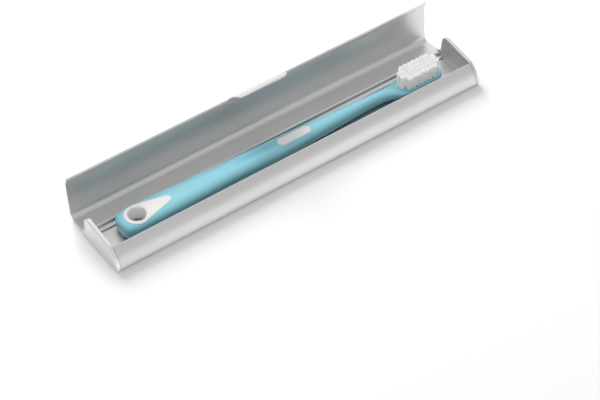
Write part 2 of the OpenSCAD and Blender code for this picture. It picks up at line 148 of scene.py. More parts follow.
class Bench:
    """The nodes of one material or world."""

    def __init__(self, tree: bpy.types.NodeTree) -> None:
        """Takes a node tree and clears it."""
        self.tree = tree
        tree.nodes.clear()

    def node(self, kind: str, settings: dict, inputs: dict) -> bpy.types.Node:
        """Adds a node.

        Args:
            kind: The node's type.
            settings: Values of the node's own properties.
            inputs: Values or wires for its sockets, by name or number.

        Returns:
            The node.
        """
        made = self.tree.nodes.new(kind)
        for name, value in settings.items():
            setattr(made, name, value)
        for name, value in inputs.items():
            if isinstance(value, Wire):
                self.tree.links.new(value.socket, made.inputs[name])
            else:
                made.inputs[name].default_value = value
        return made

    def wire(self, kind: str, settings: dict, inputs: dict, output: str | int = 0) -> Wire:
        """Adds a node and returns one of its outputs.

        Args:
            kind: The node's type.
            settings: Values of the node's own properties.
            inputs: Values or wires for its sockets, by name or number.
            output: The output's name or number.

        Returns:
            That output as a wire.
        """
        return Wire(self, self.node(kind, settings, inputs).outputs[output])

    def math(self, kind: Sum, a: Wire | float, b: Wire | float) -> Wire:
        """Returns the sum of that kind on two values."""
        return self.wire("ShaderNodeMath", {"operation": kind.value}, {0: a, 1: b})

    def blend(self, share: Wire, a: Triple, b: Triple) -> Wire:
        """Returns a colour between a and b, which are the node's sockets 6 and 7."""
        values = {"Factor": share, 6: (*a, 1), 7: (*b, 1)}
        return self.wire("ShaderNodeMix", {"data_type": "RGBA"}, values, 2)

    def place(self, stretch: Triple = (1, 1, 1)) -> Wire:
        """Returns the object's coordinates, in metres, multiplied by stretch."""
        at = self.wire("ShaderNodeTexCoord", {}, {}, "Object")
        return self.wire("ShaderNodeMapping", {}, {"Vector": at, "Scale": stretch})

    def noise(self, at: Wire, per_mm: float, detail: Detail) -> Wire:
        """Returns a noise from 0 to 1 with so many features to a millimetre."""
        values = {"Vector": at, "Scale": per_mm / MM, "Detail": detail.value}
        return self.wire("ShaderNodeTexNoise", {}, values, "Fac")

    def bump(self, height: Wire, depth: float) -> Wire:
        """Returns a normal pushed in and out by height, from 0 to 1, over depth in metres."""
        values = {"Height": height, "Distance": depth, "Strength": 1.0}
        return self.wire("ShaderNodeBump", {}, values, "Normal")


@dataclass(frozen=True)
class Depth:
    """How light sinks into a plastic: its share, its spread by colour and its reach."""

    share: float
    spread: Triple
    reach: float

    def sockets(self) -> dict:
        """Returns the shader's values for it."""
        return {
            "Subsurface Weight": self.share,
            "Subsurface Radius": self.spread,
            "Subsurface Scale": self.reach,
        }


@dataclass(frozen=True)
class Finish:
    """A finish: its name, its colour, how rough it is and how much its colour clouds."""

    name: str
    colour: Triple
    roughness: float
    cloud: float = 0.02

    def material(self) -> bpy.types.Material:
        """Makes the material on the first call, and finds it again on later ones.

        Returns:
            The material.
        """
        found = bpy.data.materials.get(self.name)
        if found is None:
            found = bpy.data.materials.new(self.name)
            found.use_nodes = True
            bench = Bench(found.node_tree)
            shader = bench.wire("ShaderNodeBsdfPrincipled", {}, self.skin(bench))
            bench.node("ShaderNodeOutputMaterial", {}, {"Surface": shader})
        return found

    def shade(self, share: float) -> Triple:
        """Returns the colour multiplied by share."""
        return tuple(share * part for part in self.colour)

    def clouded(self, bench: Bench, share: Wire) -> Wire:
        """Returns the colour, darker where share is 0 and lighter where it is 1."""
        return bench.blend(share, self.shade(1 - self.cloud), self.shade(1 + self.cloud))

    def skin(self, bench: Bench) -> dict:
        """Returns the values and wires of the shader's sockets, by name."""
        raise NotImplementedError


@dataclass(frozen=True)
class BlastedMetal(Finish):
    """Bead-blasted aluminium with faint lines from its die, along the case."""

    cloud: float = 0.04
    cloud_per_mm: float = 0.035
    grain_per_mm: float = 3.2
    grain_depth: float = 0.006 * MM
    grain_gloss: float = 0.05
    line_per_mm: float = 1.1
    line_stretch: Triple = (0.004, 1, 1)
    line_share: float = 0.2
    line_gloss: float = 0.04

    def skin(self, bench: Bench) -> dict:
        """Returns the sockets: grain and die lines in the normal, clouds in the tone.

        Args:
            bench: The bench of the material.

        Returns:
            Values and wires by socket.
        """
        at = bench.place()
        drawn = bench.place(self.line_stretch)
        grain = bench.noise(at, self.grain_per_mm, Detail.FINE)
        lines = bench.noise(drawn, self.line_per_mm, Detail.SOFT)
        cloud = bench.noise(at, self.cloud_per_mm, Detail.SOFT)
        relief = grain * (1 - self.line_share) + lines * self.line_share
        gloss = self.roughness + grain.swing(self.grain_gloss) + lines.swing(self.line_gloss)
        return {
            "Base Color": self.clouded(bench, cloud),
            "Metallic": 1.0,
            "Roughness": gloss,
            "Normal": bench.bump(relief, self.grain_depth),
        }


@dataclass(frozen=True)
class GlossPlastic(Finish):
    """Polished moulded plastic with a soft depth and a slightly wavy gloss."""

    cloud: float = 0.03
    wave_per_mm: float = 0.12
    wave_stretch: Triple = (0.35, 1, 1)
    wave_depth: float = 0.02 * MM
    dust_per_mm: float = 2.4
    dust_gloss: float = 0.05
    ior: float = 1.5
    coat: float = 0.8
    coat_roughness: float = 0.05
    depth: Depth = Depth(0.12, (1.0, 1.4, 1.5), 1.2 * MM)

    def skin(self, bench: Bench) -> dict:
        """Returns the sockets: a moulding's slow waves in the gloss and in the colour.

        Args:
            bench: The bench of the material.

        Returns:
            Values and wires by socket.
        """
        wave = bench.noise(bench.place(self.wave_stretch), self.wave_per_mm, Detail.BROAD)
        dust = bench.noise(bench.place(), self.dust_per_mm, Detail.FINE)
        return {
            "Base Color": self.clouded(bench, wave),
            "Roughness": self.roughness + dust.swing(self.dust_gloss),
            "IOR": self.ior,
            "Coat Weight": self.coat,
            "Coat Roughness": self.coat_roughness,
            "Normal": bench.bump(wave, self.wave_depth),
            **self.depth.sockets(),
        }


@dataclass(frozen=True)
class SoftPlastic(Finish):
    """Matt overmoulded rubber-like plastic with a fine moulded grain."""

    cloud_per_mm: float = 0.2
    grain_per_mm: float = 4.0
    grain_depth: float = 0.008 * MM
    grain_gloss: float = 0.08
    depth: Depth = Depth(0.2, (1.0, 0.8, 0.7), 1.0 * MM)

    def skin(self, bench: Bench) -> dict:
        """Returns the sockets: a fine grain in the normal, a faint cloud in the colour.

        Args:
            bench: The bench of the material.

        Returns:
            Values and wires by socket.
        """
        at = bench.place()
        grain = bench.noise(at, self.grain_per_mm, Detail.FINE)
        cloud = bench.noise(at, self.cloud_per_mm, Detail.SOFT)
        return {
            "Base Color": self.clouded(bench, cloud),
            "Roughness": self.roughness + grain.swing(self.grain_gloss),
            "Normal": bench.bump(grain, self.grain_depth),
            **self.depth.sockets(),
        }


@dataclass(frozen=True)
class Nylon(Finish):
    """White nylon filaments with painted shade that greys them towards their roots, painted
    light at their tips, a faint painted glow, and a depth that carries light through them.
    """

    # Between these heights the colour runs from painted shade at the roots to painted light at
    # the tips.
    root_z: float = 4.6 * MM
    tip_z: float = 12 * MM
    root_painted_shade: float = 0.92
    tip_painted_light: float = 1.02
    strand_per_mm: float = 3.0
    strand_stretch: Triple = (1, 1, 0.02)
    strand_share: float = 0.25
    strand_gloss: float = 0.1
    # A faint painted glow: the bristles emit light though they are no lamp.
    glow: float = 0.09
    depth: Depth = Depth(0.9, (1.0, 1.0, 1.0), 2.0 * MM)

    def skin(self, bench: Bench) -> dict:
        """Returns the sockets: painted shade at the roots and painted light at the tips, small
        differences from filament to filament, and a painted glow.

        Args:
            bench: The bench of the material.

        Returns:
            Values and wires by socket.
        """
        height = bench.wire("ShaderNodeSeparateXYZ", {}, {"Vector": bench.place()}, "Z")
        # Painted shade: darker towards the roots and lighter towards the tips, by height.
        rise = ((height - self.root_z) / (self.tip_z - self.root_z)).up_to_one()
        upright = bench.place(self.strand_stretch)
        strand = bench.noise(upright, self.strand_per_mm, Detail.BROAD)
        tone = (rise * (1 - self.strand_share) + strand * self.strand_share).up_to_one()
        return {
            "Base Color": bench.blend(
                tone, self.shade(self.root_painted_shade), self.shade(self.tip_painted_light)
            ),
            "Roughness": self.roughness + strand.swing(self.strand_gloss),
            # Painted glow: a faint emission of white light.
            "Emission Color": (1, 1, 1, 1),
            "Emission Strength": self.glow,
            **self.depth.sockets(),
        }


SATIN = BlastedMetal("blasted_aluminium", (0.75, 0.744, 0.742), 0.38)
# A brighter, glossier finish for cut edges: partly the real cut metal, partly a painted
# highlight line along the top edges.
CUT_EDGE_PAINTED_HIGHLIGHT = BlastedMetal("cut_edge_painted_highlight", (0.93, 0.93, 0.93), 0.3, grain_depth=0.002 * MM)
PALE_BLUE = GlossPlastic("pale_blue_plastic", (0.27, 0.66, 0.77), 0.2)
SOFT_WHITE = SoftPlastic("soft_white_plastic", (0.88, 0.865, 0.865), 0.45)
WHITE_NYLON = Nylon("white_nylon", (0.955, 0.955, 0.95), 0.42)


def kept(name: str, mesh: Mesh) -> bpy.types.Mesh:
    """Returns an edited mesh as the scene's own mesh data, and frees it.

    Args:
        name: The data's name.
        mesh: The mesh, in metres in the row frame.

    Returns:
        The data.
    """
    data = bpy.data.meshes.new(name)
    mesh.to_mesh(data)
    mesh.free()
    return data


def placed(name: str, data: bpy.types.ID) -> bpy.types.Object:
    """Puts an object with this data in the scene, at the origin.

    Args:
        name: The object's name.
        data: Its mesh, lamp or camera.

    Returns:
        The object.
    """
    piece = bpy.data.objects.new(name, data)
    bpy.context.scene.collection.objects.link(piece)
    return piece


def finished(name: str, mesh: Mesh, *finishes: Finish) -> bpy.types.Object:
    """Turns a mesh into an object with its finishes.

    Args:
        name: The piece's name.
        mesh: The mesh, in metres in the row frame. It is freed.
        finishes: The finishes, in the order of the faces' numbers.

    Returns:
        The object, at the origin.
    """
    data = kept(name, mesh)
    for finish in finishes:
        data.materials.append(finish.material())
    return placed(name, data)


def crease(mesh: Mesh, angle: float) -> None:
    """Shades a mesh smooth, but for its sharp edges.

    Args:
        mesh: The mesh.
        angle: The angle between faces, in radians, from which an edge is sharp.
    """
    for face in mesh.faces:
        face.smooth = True
    for edge in mesh.edges:
        edge.smooth = edge.is_manifold and edge.calc_face_angle(0) < angle


def clean(mesh: Mesh, dist: float = 0.004 * MM) -> None:
    """Merges what lies closer than dist and drops the faces that this flattens."""
    bmesh.ops.remove_doubles(mesh, verts=mesh.verts, dist=dist)
    bmesh.ops.dissolve_degenerate(mesh, dist=dist, edges=mesh.edges)


def settle(piece: bpy.types.Object) -> None:
    """Applies all modifiers of a piece to its mesh.

    Args:
        piece: The piece.
    """
    seen = piece.evaluated_get(bpy.context.evaluated_depsgraph_get())
    settled = bpy.data.meshes.new_from_object(seen)
    settled.name = piece.data.name
    piece.modifiers.clear()
    piece.data = settled


def stand_in(piece: bpy.types.Object, body: Body, node: str) -> None:
    """Lets a piece ride on a body in place of its node, and reports it.

    Args:
        piece: The finished piece.
        body: The body that it moves with.
        node: The node that it stands for.
    """
    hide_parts(node)
    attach(piece, body.value)
    log.info("%s: %d faces, for %s", piece.name, len(piece.data.polygons), node)


def extruded_ring(mesh: Mesh, ring: list[Vert]) -> list[Vert]:
    """Extrudes a ring of edges.

    Args:
        mesh: The mesh.
        ring: The ring's vertices, in order.

    Returns:
        The new ring's vertices, in the same order.
    """
    edges = [mesh.edges.get(pair) for pair in zip(ring, ring[1:] + ring[:1])]
    made = bmesh.ops.extrude_edge_only(mesh, edges=edges)["geom"]
    fresh = {v for v in made if isinstance(v, Vert)}
    return [
        next(e.other_vert(v) for e in v.link_edges if e.other_vert(v) in fresh) for v in ring
    ]


def put_in_order(mesh: Mesh) -> None:
    """Puts the faces in the order of their vertices.

    An extrusion gives its faces in another order each run, and a cut would follow that order.

    Args:
        mesh: The mesh.
    """
    mesh.verts.index_update()
    count = len(mesh.verts)

    def place(face: bmesh.types.BMFace) -> int:
        """Returns a number that rises with the face's lowest and then its highest vertex."""
        numbers = [vert.index for vert in face.verts]
        return min(numbers) * count + max(numbers)

    mesh.faces.sort(key=place)


def tube(outlines: list[list[Vector]]) -> Mesh:
    """Extrudes a circle from outline to outline and closes both ends.

    Args:
        outlines: Rings of points, in order, each with as many points.

    Returns:
        The closed mesh.
    """
    mesh = bmesh.new()
    ring = bmesh.ops.create_circle(mesh, segments=len(outlines[0]), radius=1)["verts"]
    first = list(ring)
    for k, outline in enumerate(outlines):
        if k:
            ring = extruded_ring(mesh, ring)
        for vert, point in zip(ring, outline):
            vert.co = point
    for loop in (first, ring):
        bmesh.ops.contextual_create(mesh, geom=loop)
    bmesh.ops.recalc_face_normals(mesh, faces=mesh.faces)
    put_in_order(mesh)
    return mesh


@dataclass(frozen=True)
class Rim:
    """A metal part's cut rim: how it is rounded, where it lies, and how wide a band of it gets
    the brighter finish that paints a highlight line.
    """

    ease: float
    axis: int = 0
    depth: float = 0.05 * MM
    # Width of the band that gets the brighter finish, a painted highlight line; zero for none.
    painted_highlight_w: float = 0
    flank: Triple = (1, 0, 0)
    flank_cos: float = 0.8
    steps: int = 4

    def inner(self, mesh: Mesh, width: float) -> float:
        """Returns how far from zero a rim of that width starts, along the rim's axis."""
        return max(abs(v.co[self.axis]) for v in mesh.verts) - width

    def edges(self, mesh: Mesh, sharp: list[Edge], level: float) -> list[Edge]:
        """Returns the sharp edges that run round the rim.

        Args:
            mesh: The part's mesh.
            sharp: Its sharp edges.
            level: How level such an edge is across the rim's axis, in metres.

        Returns:
            The rim's edges.
        """
        inner = self.inner(mesh, self.depth)
        found = []
        for edge in sharp:
            a, b = (vert.co[self.axis] for vert in edge.verts)
            if min(abs(a), abs(b)) > inner and abs(a - b) < level:
                found.append(edge)
        return found

    def paint_highlight(self, mesh: Mesh) -> None:
        """Gives the rim's faces, which lie across the flank, the second finish: a brighter
        colour that paints a highlight line along the rim.

        Args:
            mesh: The part's mesh.
        """
        inner = self.inner(mesh, self.painted_highlight_w)
        flank = Vector(self.flank)
        for face in mesh.faces:
            at = abs(face.calc_center_median()[self.axis])
            if at > inner and abs(face.normal.dot(flank)) < self.flank_cos:
                face.material_index = 1


@dataclass
class MetalPart:
    """A metal piece of the case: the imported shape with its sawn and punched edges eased."""

    node: str
    body: Body
    name: str
    ease: float = 0.1 * MM
    rim: Rim | None = None
    finish: Finish = SATIN
    steps: int = 2
    sharp_a: float = math.radians(32)
    flat_a: float = math.radians(0.4)
    weld: float = 0.002 * MM

    def sharp_edges(self, mesh: Mesh) -> list[Edge]:
        """Returns the edges where faces meet at more than the sharp angle."""
        return [e for e in mesh.edges if e.is_manifold and e.calc_face_angle(0) > self.sharp_a]

    def round_off(
        self, mesh: Mesh, edges: list[Edge], width: float, steps: int, clamp: bool
    ) -> None:
        """Rounds edges.

        Args:
            mesh: The part's mesh.
            edges: The edges.
            width: The width of the rounding.
            steps: How many faces go round it.
            clamp: Whether the shortest neighbour holds every edge back.
        """
        bmesh.ops.bevel(
            mesh, geom=edges, offset=width, offset_type="OFFSET", affect="EDGES",
            segments=steps, profile=0.5, material=-1, clamp_overlap=clamp,
        )

    def build(self) -> None:
        """Makes the eased copy and lets it stand for its node."""
        mesh = bmesh.new()
        mesh.from_mesh(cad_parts[self.node].data)
        bmesh.ops.remove_doubles(mesh, verts=mesh.verts, dist=self.weld)
        bmesh.ops.dissolve_limit(
            mesh, angle_limit=self.flat_a, verts=mesh.verts, edges=mesh.edges, delimit={"NORMAL"}
        )
        if self.rim:
            edges = self.rim.edges(mesh, self.sharp_edges(mesh), self.weld)
            self.round_off(mesh, edges, self.rim.ease, self.rim.steps, clamp=False)
        self.round_off(mesh, self.sharp_edges(mesh), self.ease, self.steps, clamp=True)
        clean(mesh)
        crease(mesh, self.sharp_a)
        finishes = [self.finish]
        # A rim with a highlight band gets the brighter finish on it, a painted highlight line.
        if self.rim and self.rim.painted_highlight_w:
            self.rim.paint_highlight(mesh)
            finishes.append(CUT_EDGE_PAINTED_HIGHLIGHT)
        piece = finished(self.name, mesh, *finishes)
        weighted = piece.modifiers.new("even_flats", "WEIGHTED_NORMAL")
        weighted.keep_sharp = True
        weighted.mode = "FACE_AREA"
        settle(piece)
        stand_in(piece, self.body, self.node)


@dataclass
class Case:
    """The case: tray, end plates and catch on one body, the lid on another."""

    # The front wall's and left plate's rims carry a painted highlight band; the right plate's
    # rim does not.
    wall_rim: Rim = Rim(
        0.46 * MM, axis=2, depth=1 * MM, painted_highlight_w=1 * MM, flank=(0, -0.51, 0.86)
    )
    left_rim: Rim = Rim(0.8 * MM, painted_highlight_w=2.3 * MM)
    right_rim: Rim = Rim(0.8 * MM)
    nib_ease: float = 0.04 * MM

    def parts(self) -> list[MetalPart]:
        """Returns the metal parts, tray first."""
        return [
            MetalPart("tray_shell", Body.TRAY, "case_tray", rim=self.wall_rim),
            MetalPart("left_end_plate", Body.TRAY, "case_left_end", rim=self.left_rim),
            MetalPart("right_end_plate", Body.TRAY, "case_right_end", rim=self.right_rim),
            # The catch nib wears the brighter finish whole, a painted highlight.
            MetalPart("catch_nib", Body.TRAY, "case_catch", self.nib_ease, finish=CUT_EDGE_PAINTED_HIGHLIGHT),
            MetalPart("lid_shell", Body.LID, "case_lid"),
        ]

    def build(self) -> None:
        """Builds every metal part."""
        for part in self.parts():
            part.build()


@dataclass(frozen=True)
class Station:
    """A slice of the brush: its place, half width, underside, top and squareness."""

    at: float
    half: float
    under: float
    top: float
    square: float

    def value(self, column: int) -> float:
        """Returns one of the five values by its number."""
        return (self.at, self.half, self.under, self.top, self.square)[column]

    def swollen(self, swell: float) -> Station:
        """Returns the slice with its outline moved out by swell."""
        under, top = self.under - swell, self.top + swell
        return Station(self.at, self.half + swell, under, top, self.square)

    def outline(self, sides: int, share: float, push: float) -> list[Vector]:
        """Returns the slice's outline, a rounded square, as points.

        Args:
            sides: The number of points.
            share: The outline's size as a share of the slice.
            push: How far along the brush the outline lies from the slice.

        Returns:
            The points, in order.
        """
        middle = (self.under + self.top) / 2
        tall = (self.top - self.under) / 2
        points = []
        for k in range(sides):
            turn = 2 * math.pi * k / sides
            side, rise = (
                math.copysign(abs(part) ** (2 / self.square), part)
                for part in (math.cos(turn), math.sin(turn))
            )
            points.append(Vector((
                self.at + push, share * self.half * side, middle + share * tall * rise,
            )))
        return points


@dataclass
class BrushBody:
    """The brush's smooth body, drawn from its handle's end at zero, its underside on zero.

    Each row of shares is a slice: its place as a share of the length, its half width as a
    share of the width, its underside and top as shares of the thickness, and its squareness.
    """

    head_at: float = 158 * MM
    head_l: float = 29 * MM
    handle_w: float = 15.6 * MM
    handle_t: float = 8.4 * MM
    neck_t: float = 6.2 * MM
    head_w: float = 11.6 * MM
    head_t: float = 3.3 * MM
    steps: int = 6
    sides: int = 64
    end_rings: tuple = ((0.25, 0.20 * MM), (0.55, 0.17 * MM), (0.82, 0.09 * MM))
    handle_shares: tuple = (
        (0.000, 0.270, 0.10, 0.740, 3.00), (0.005, 0.370, 0.04, 0.860, 3.00),
        (0.016, 0.440, 0.01, 0.940, 3.10), (0.034, 0.485, 0.00, 0.985, 3.20),
        (0.058, 0.500, 0.00, 1.000, 3.20), (0.100, 0.500, 0.00, 1.000, 3.20),
        (0.133, 0.490, 0.00, 0.990, 3.10), (0.209, 0.468, 0.00, 0.975, 2.90),
        (0.284, 0.440, 0.00, 0.955, 2.80), (0.359, 0.405, 0.00, 0.935, 2.70),
        (0.434, 0.390, 0.00, 0.910, 2.70), (0.509, 0.375, 0.00, 0.885, 2.65),
        (0.585, 0.368, 0.00, 0.865, 2.60), (0.660, 0.333, 0.00, 0.848, 2.60),
        (0.735, 0.290, 0.01, 0.835, 2.50), (0.772, 0.272, 0.02, 0.820, 2.40),
    )
    neck_shares: tuple = (
        (0.810, 0.640, 0.06, 1.11, 2.30), (0.848, 0.580, 0.08, 1.09, 2.20),
        (0.885, 0.530, 0.08, 1.06, 2.15), (0.923, 0.515, 0.08, 1.03, 2.10),
        (0.955, 0.540, 0.06, 0.97, 2.10),
    )
    head_shares: tuple = (
        (0.000, 0.385, 0.00, 1.38, 2.40), (0.080, 0.450, 0.00, 1.12, 3.20),
        (0.170, 0.490, 0.00, 1.00, 4.50), (0.300, 0.500, 0.00, 1.00, 5.00),
        (0.780, 0.500, 0.00, 1.00, 5.00), (0.880, 0.460, 0.00, 1.00, 4.50),
        (0.950, 0.370, 0.04, 0.98, 4.00), (0.985, 0.270, 0.12, 0.94, 3.40),
        (1.000, 0.170, 0.24, 0.84, 3.00),
    )

    def stations(self) -> list[Station]:
        """Returns the driving slices at their real sizes.

        Returns:
            The slices of the handle, the neck and the head.
        """
        found = []
        for table, start, length, width, thick in (
            (self.handle_shares, 0, self.head_at, self.handle_w, self.handle_t),
            (self.neck_shares, 0, self.head_at, self.neck_t, self.neck_t),
            (self.head_shares, self.head_at, self.head_l, self.head_w, self.head_t),
        ):
            for at, half, under, top, square in table:
                place = start + at * length
                found.append(Station(place, half * width, under * thick, top * thick, square))
        return found

    def slope(self, table: list[Station], i: int, column: int) -> float:
        """Finds a column's slope at a station, level wherever the column turns round.

        Args:
            table: The driving slices.
            i: The station's number.
            column: The value's number in a slice.

        Returns:
            The slope, by the metre along the brush.
        """
        if i in (0, len(table) - 1):
            return 0
        before, here, after = table[i - 1], table[i], table[i + 1]
        back = (here.value(column) - before.value(column)) / (here.at - before.at)
        ahead = (after.value(column) - here.value(column)) / (after.at - here.at)
        return 0 if back * ahead <= 0 else 2 * back * ahead / (back + ahead)

    def between(self, table: list[Station], i: int, share: float) -> Station:
        """Finds a slice between two stations, on smooth curves through them.

        Args:
            table: The driving slices.
            i: The first station's number.
            share: How far it lies on the way to the next.

        Returns:
            The slice.
        """
        span = table[i + 1].at - table[i].at
        values = [table[i].at + share * span]
        for column in range(1, 5):
            low, high = table[i].value(column), table[i + 1].value(column)
            rise = (3 - 2 * share) * share**2
            values.append(
                low + rise * (high - low)
                + (share - 1) ** 2 * share * span * self.slope(table, i, column)
                + (share - 1) * share**2 * span * self.slope(table, i + 1, column)
            )
        return Station(*values)

    def loft(self, swell: float = 0) -> Mesh:
        """Lofts the body from its slices.

        Args:
            swell: How far the body stands out over its real size, in metres.

        Returns:
            The closed mesh.
        """
        table = self.stations()
        slices = [
            self.between(table, i, k / self.steps)
            for i in range(len(table) - 1) for k in range(self.steps)
        ]
        slices = [cut.swollen(swell) for cut in (*slices, table[-1])]
        first, last = slices[0], slices[-1]
        rings = [first.outline(self.sides, share, -push) for share, push in self.end_rings]
        rings += [cut.outline(self.sides, 1, 0) for cut in slices]
        rings += [
            last.outline(self.sides, share, push) for share, push in reversed(self.end_rings)
        ]
        return tube(rings)


@dataclass
class Cutter:
    """A tall column that trims or pierces the brush's body.

    Its outline is the hull of a circle about its middle and another at its reach from there.
    """

    middle: float
    radius: float
    reach: float
    end_radius: float
    low: float = -2 * MM
    high: float = 14 * MM
    sides: int = 64
    flat_a: float = math.radians(1)

    def mesh(self) -> Mesh:
        """Makes the column.

        Returns:
            The closed mesh.
        """
        made = bmesh.new()
        tall = self.high - self.low
        for at, radius in ((0, self.radius), (self.reach, self.end_radius)):
            bmesh.ops.create_cone(
                made, cap_ends=True, segments=self.sides, radius1=radius, radius2=radius,
                depth=tall,
                matrix=Matrix.Translation((self.middle + at, 0, self.low + tall / 2)),
            )
        hull = bmesh.ops.convex_hull(made, input=made.verts, use_existing_faces=False)
        spare = dict.fromkeys(hull["geom_interior"] + hull["geom_unused"])
        inside = [g for g in spare if isinstance(g, Vert)]
        bmesh.ops.delete(made, geom=inside, context="VERTS")
        outside = set(hull["geom"])
        loose = [f for f in made.faces if f not in outside]
        bmesh.ops.delete(made, geom=loose, context="FACES_ONLY")
        bmesh.ops.dissolve_limit(
            made, angle_limit=self.flat_a, verts=made.verts, edges=made.edges
        )
        bmesh.ops.recalc_face_normals(made, faces=made.faces)
        return made


def carve(mesh: Mesh, cutter: Mesh, keep: Keep) -> Mesh:
    """Cuts one mesh with another.

    Args:
        mesh: The mesh that is cut. It is freed.
        cutter: The mesh that cuts. It is freed.
        keep: Which part of the first is left.

    Returns:
        What is left.
    """
    blank, tool = placed("blank", kept("blank", mesh)), placed("cutter", kept("cutter", cutter))
    cut = blank.modifiers.new("cut", "BOOLEAN")
    cut.object = tool
    cut.operation = keep.value
    cut.solver = "EXACT"
    settle(blank)
    result = bmesh.new()
    result.from_mesh(blank.data)
    for piece in (blank, tool):
        bpy.data.objects.remove(piece)
    clean(result)
    return result


@dataclass
class Toothbrush:
    """The toothbrush: body, hanging ring, thumb pad and bristles, laid in the tray."""

    body: BrushBody = field(default_factory=BrushBody)
    end_at: Vector = field(default_factory=lambda: Vector((-92.5, 4.8, 1.3)) * MM)
    askew: float = math.radians(-0.05)
    hole_at: float = 9.2 * MM
    hole_r: float = 4.4 * MM
    ring_w: float = 1.8 * MM
    mouth_r: float = 0.9 * MM
    mouth_steps: int = 6
    tail_l: float = 18.4 * MM
    tail_tip_r: float = 2 * MM
    pad_at: float = 98.2 * MM
    pad_l: float = 19 * MM
    pad_w: float = 5 * MM
    pad_floor: float = 5.4 * MM
    seam: float = 0.03 * MM
    proud: float = 0.08 * MM
    crease_a: float = math.radians(35)

    def laid(self) -> Matrix:
        """Returns where the brush lies in the tray."""
        return Matrix.Translation(self.end_at) @ Matrix.Rotation(self.askew, 4, "Z")

    def ring_cutter(self, spare: float) -> Mesh:
        """Makes the column of the hanging ring and its tail.

        Args:
            spare: How much larger than the ring it is, all round.

        Returns:
            The closed mesh.
        """
        radius = self.hole_r + self.ring_w + spare
        run = self.tail_l - self.tail_tip_r
        return Cutter(self.hole_at, radius, run, self.tail_tip_r + spare).mesh()

    def pad_cutter(self, spare: float) -> Mesh:
        """Makes the column of the thumb pad.

        Args:
            spare: How much larger than the pad it is, all round and below.

        Returns:
            The closed mesh.
        """
        run = self.pad_l - self.pad_w
        radius = self.pad_w / 2 + spare
        low = self.pad_floor - spare
        return Cutter(self.pad_at - run / 2, radius, run, radius, low=low).mesh()

    def hole_cutter(self) -> Mesh:
        """Makes the hanging hole, with rounded mouths, as a column to cut with.

        Returns:
            The closed mesh, which stands out over both faces of the ring.
        """
        mouth = []
        for k in range(self.mouth_steps + 1):
            turn = math.pi / 2 * k / self.mouth_steps
            radius = self.hole_r + self.mouth_r * (1 - math.cos(turn))
            mouth.append((self.mouth_r * math.sin(turn), radius))
        mouth.append((2 * self.mouth_r, self.hole_r + self.mouth_r))
        top = self.body.handle_t + self.proud - self.mouth_r
        rings = [(self.mouth_r - self.proud - rise, radius) for rise, radius in reversed(mouth)]
        rings += [(top + rise, radius) for rise, radius in mouth]
        turns = [2 * math.pi * k / self.body.sides for k in range(self.body.sides)]
        return tube([
            [
                Vector((self.hole_at + radius * math.cos(turn), radius * math.sin(turn), z))
                for turn in turns
            ]
            for z, radius in rings
        ])

    def dress(self, mesh: Mesh, name: str, finish: Finish, node: str) -> None:
        """Lays a mesh in the tray and lets it stand for its node.

        Args:
            mesh: The mesh, drawn from the handle's end. It is freed.
            name: The piece's name.
            finish: Its finish.
            node: The node that it stands for.
        """
        bmesh.ops.transform(mesh, matrix=self.laid(), verts=mesh.verts)
        crease(mesh, self.crease_a)
        stand_in(finished(name, mesh, finish), Body.BRUSH, node)

    def build_handle(self) -> None:
        """Makes the blue body, with openings for the ring and the thumb pad."""
        mesh = carve(self.body.loft(), self.ring_cutter(self.seam), Keep.OUTSIDE)
        mesh = carve(mesh, self.pad_cutter(self.seam), Keep.OUTSIDE)
        self.dress(mesh, "brush_body", PALE_BLUE, "brush_handle")

    def build_ring(self) -> None:
        """Makes the white hanging ring with its tail."""
        mesh = carve(self.body.loft(self.proud), self.ring_cutter(0), Keep.INSIDE)
        mesh = carve(mesh, self.hole_cutter(), Keep.OUTSIDE)
        self.dress(mesh, "brush_hanging_ring", SOFT_WHITE, "loop_insert")

    def build_pad(self) -> None:
        """Makes the white thumb pad."""
        mesh = carve(self.body.loft(self.proud), self.pad_cutter(0), Keep.INSIDE)
        self.dress(mesh, "brush_thumb_pad", SOFT_WHITE, "thumb_inset")

    def build(self) -> None:
        """Builds the whole brush."""
        self.build_handle()
        self.build_ring()
        self.build_pad()
        Bristles(self.laid(), self.body).build()


